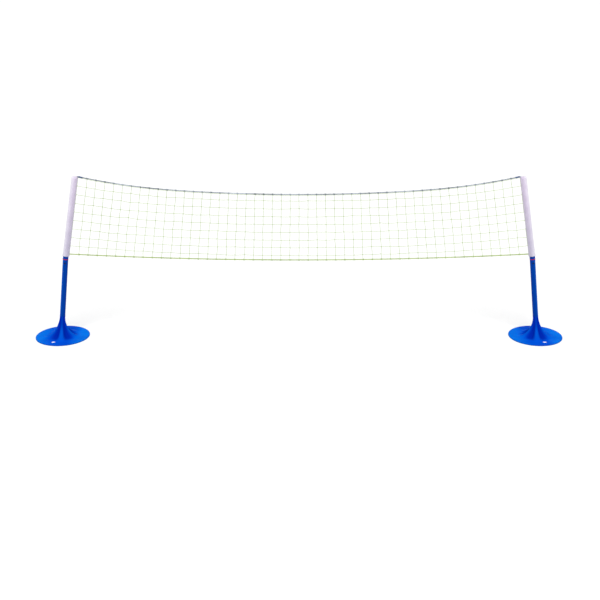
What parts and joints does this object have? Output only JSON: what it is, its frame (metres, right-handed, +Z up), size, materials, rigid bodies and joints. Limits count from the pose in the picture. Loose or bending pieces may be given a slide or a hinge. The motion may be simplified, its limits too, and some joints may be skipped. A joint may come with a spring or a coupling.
{
  "type": "net on poles",
  "caption": "Low net for garden or beach volleyball, hung between leaning plug-together poles on round bases, with cloth end sleeves, cords, snap buttons and peg holes.",
  "frame": {"origin": "on the ground at mid span, halfway between the two bases", "axes": "+Z up; +X along the net, to the right seen from the front; -Y to the front, the side that the snap buttons and peg holes are on"},
  "size_m": [2.477, 0.25, 0.7684],
  "materials": {
    "base_plastic": "moulded, satin gloss",
    "tube_plastic": "extruded, satin gloss",
    "joint_plastic": "moulded, satin gloss",
    "button_plastic": "moulded, matt",
    "spring_steel": "rolled strip, bare",
    "cap_plastic": "moulded, matt",
    "sleeve_cloth": "woven, doubled and sewn",
    "net_twine": "knotted twine",
    "top_cord_twist": "twisted cord",
    "bottom_cord_twist": "twisted cord"
  },
  "bodies": {
    "net_frame": {"net_mesh": "net_twine", "top_cord": "top_cord_twist", "bottom_cord": "bottom_cord_twist", "net_sleeve_left": "sleeve_cloth", "upper_tube_left": "tube_plastic", "end_cap_left": "cap_plastic", "net_sleeve_right": "sleeve_cloth", "upper_tube_right": "tube_plastic", "end_cap_right": "cap_plastic"},
    "stand_left": {"lower_tube_left": "tube_plastic", "joint_plug_left": "joint_plastic", "leaf_spring_left": "spring_steel"},
    "foot_left": {"base_left": "base_plastic"},
    "button_left": {"snap_button_left": "button_plastic"},
    "stand_right": {"lower_tube_right": "tube_plastic", "joint_plug_right": "joint_plastic", "leaf_spring_right": "spring_steel"},
    "foot_right": {"base_right": "base_plastic"},
    "button_right": {"snap_button_right": "button_plastic"}
  },
  "joints": [
    {"name": "stand_left_pull", "type": "slide", "parent": "net_frame", "child": "stand_left", "axis": [-0.1822, 0, -0.9833], "range_m": [0, 0.05]},
    {"name": "foot_left_pull", "type": "slide", "parent": "stand_left", "child": "foot_left", "axis": [-0.1271, 0, -0.9919], "range_m": [0, 0.045]},
    {"name": "button_left_press", "type": "slide", "parent": "stand_left", "child": "button_left", "axis": [0, 1, 0], "range_m": [0, 0.0033], "stiffness_N_per_m": 800, "deforming": ["leaf_spring_left"]},
    {"name": "stand_right_pull", "type": "slide", "parent": "net_frame", "child": "stand_right", "axis": [0.1822, 0, -0.9833], "range_m": [0, 0.05]},
    {"name": "foot_right_pull", "type": "slide", "parent": "stand_right", "child": "foot_right", "axis": [0.1271, 0, -0.9919], "range_m": [0, 0.045]},
    {"name": "button_right_press", "type": "slide", "parent": "stand_right", "child": "button_right", "axis": [0, 1, 0], "range_m": [0, 0.0033], "stiffness_N_per_m": 800, "deforming": ["leaf_spring_right"]}
  ]
}
